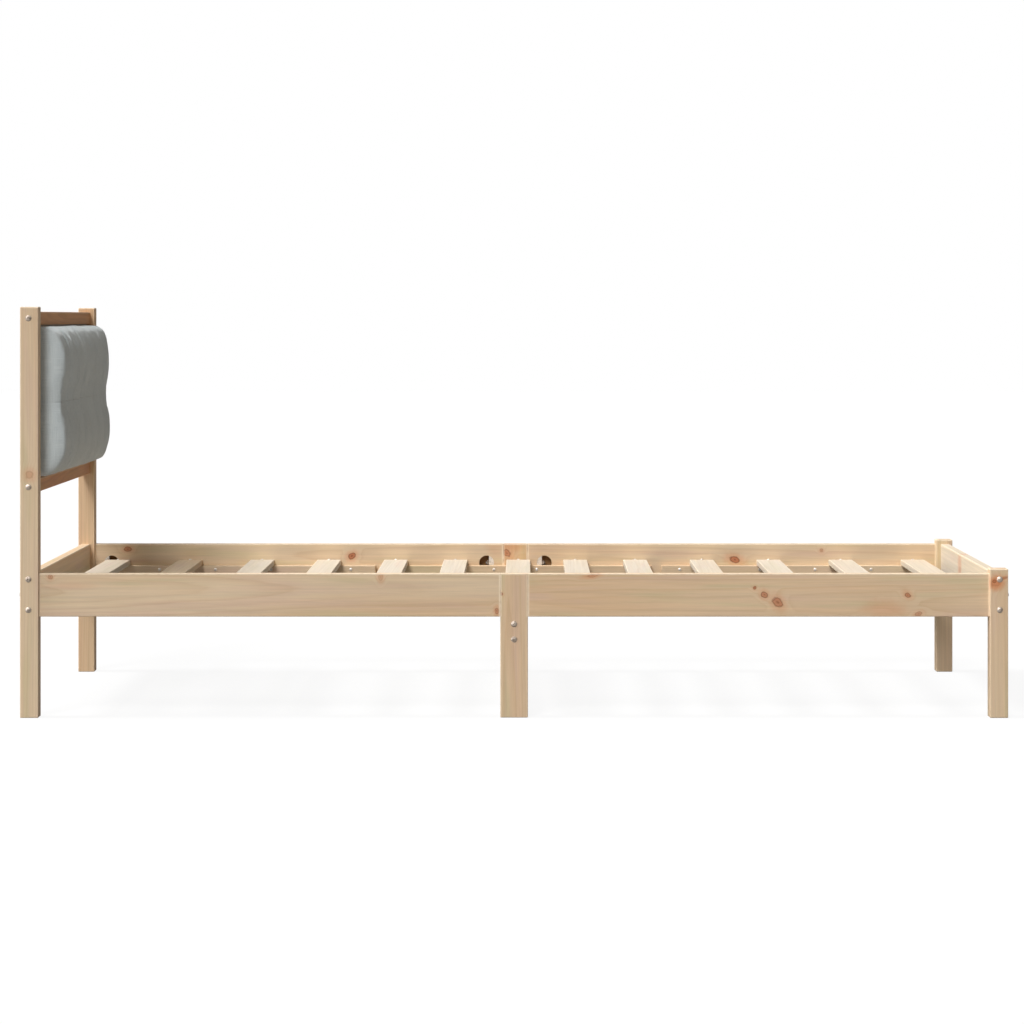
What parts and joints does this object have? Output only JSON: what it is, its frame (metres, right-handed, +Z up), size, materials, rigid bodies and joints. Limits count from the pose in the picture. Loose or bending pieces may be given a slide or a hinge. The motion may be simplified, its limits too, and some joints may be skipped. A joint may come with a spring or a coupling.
{
  "type": "single bed frame",
  "caption": "Low solid pine single bed frame with slats on side cleats, centre legs and a padded grey headboard cushion between two tall posts.",
  "frame": {"origin": "centre of the rectangle that the posts stand on, at floor level", "axes": "+X from the head end to the foot end, +Y to the left side of a person who lies on the bed, +Z up"},
  "size_m": [2.0612, 0.9612, 0.855],
  "materials": {
    "pine": "planed and lightly lacquered pine",
    "pale_pine": "planed, unlacquered pale pine",
    "plywood": "sanded plywood",
    "beech": "plain turned beech",
    "grey_fabric": "fine woven grey upholstery cloth",
    "bright_steel": "bright nickel-plated steel",
    "zinc_steel": "dull zinc-plated steel"
  },
  "bodies": {
    "root": {"head_post_left": "pine", "head_post_right": "pine", "foot_post_left": "pine", "foot_post_right": "pine", "mid_leg_left": "pale_pine", "mid_leg_right": "pale_pine", "side_rail_head_left": "pine", "side_rail_head_right": "pine", "side_rail_foot_left": "pine", "side_rail_foot_right": "pine", "head_crossrail": "pine", "foot_crossrail": "pine", "mid_crossbeam": "pine", "headboard_top_rail": "pine", "headboard_lower_rail": "pine", "headboard_panel": "plywood", "headboard_cushion": "grey_fabric", "cleat_head_left": "pine", "cleat_mid_left": "pine", "cleat_foot_left": "pine", "cleat_head_right": "pine", "cleat_mid_right": "pine", "cleat_foot_right": "pine", "slat_01": "pale_pine", "slat_02": "pale_pine", "slat_03": "pale_pine", "slat_04": "pale_pine", "slat_05": "pale_pine", "slat_06": "pale_pine", "slat_07": "pale_pine", "slat_08": "pale_pine", "slat_09": "pale_pine", "slat_10": "pale_pine", "slat_11": "pale_pine", "slat_12": "pale_pine", "slat_13": "pale_pine", "crossrail_bolts": "bright_steel", "headboard_bolts": "bright_steel", "crossbeam_bolts": "bright_steel", "side_rail_bolts": "bright_steel", "crossrail_inserts": "zinc_steel", "headboard_inserts": "zinc_steel", "crossbeam_inserts": "zinc_steel", "side_rail_inserts": "zinc_steel", "mid_leg_studs": "zinc_steel", "half_moon_washers": "bright_steel", "side_rail_nuts": "bright_steel", "rail_dowels": "beech", "slat_screws": "bright_steel", "cleat_screws": "zinc_steel", "headboard_plates": "zinc_steel", "plate_screws": "zinc_steel"}
  },
  "joints": []
}
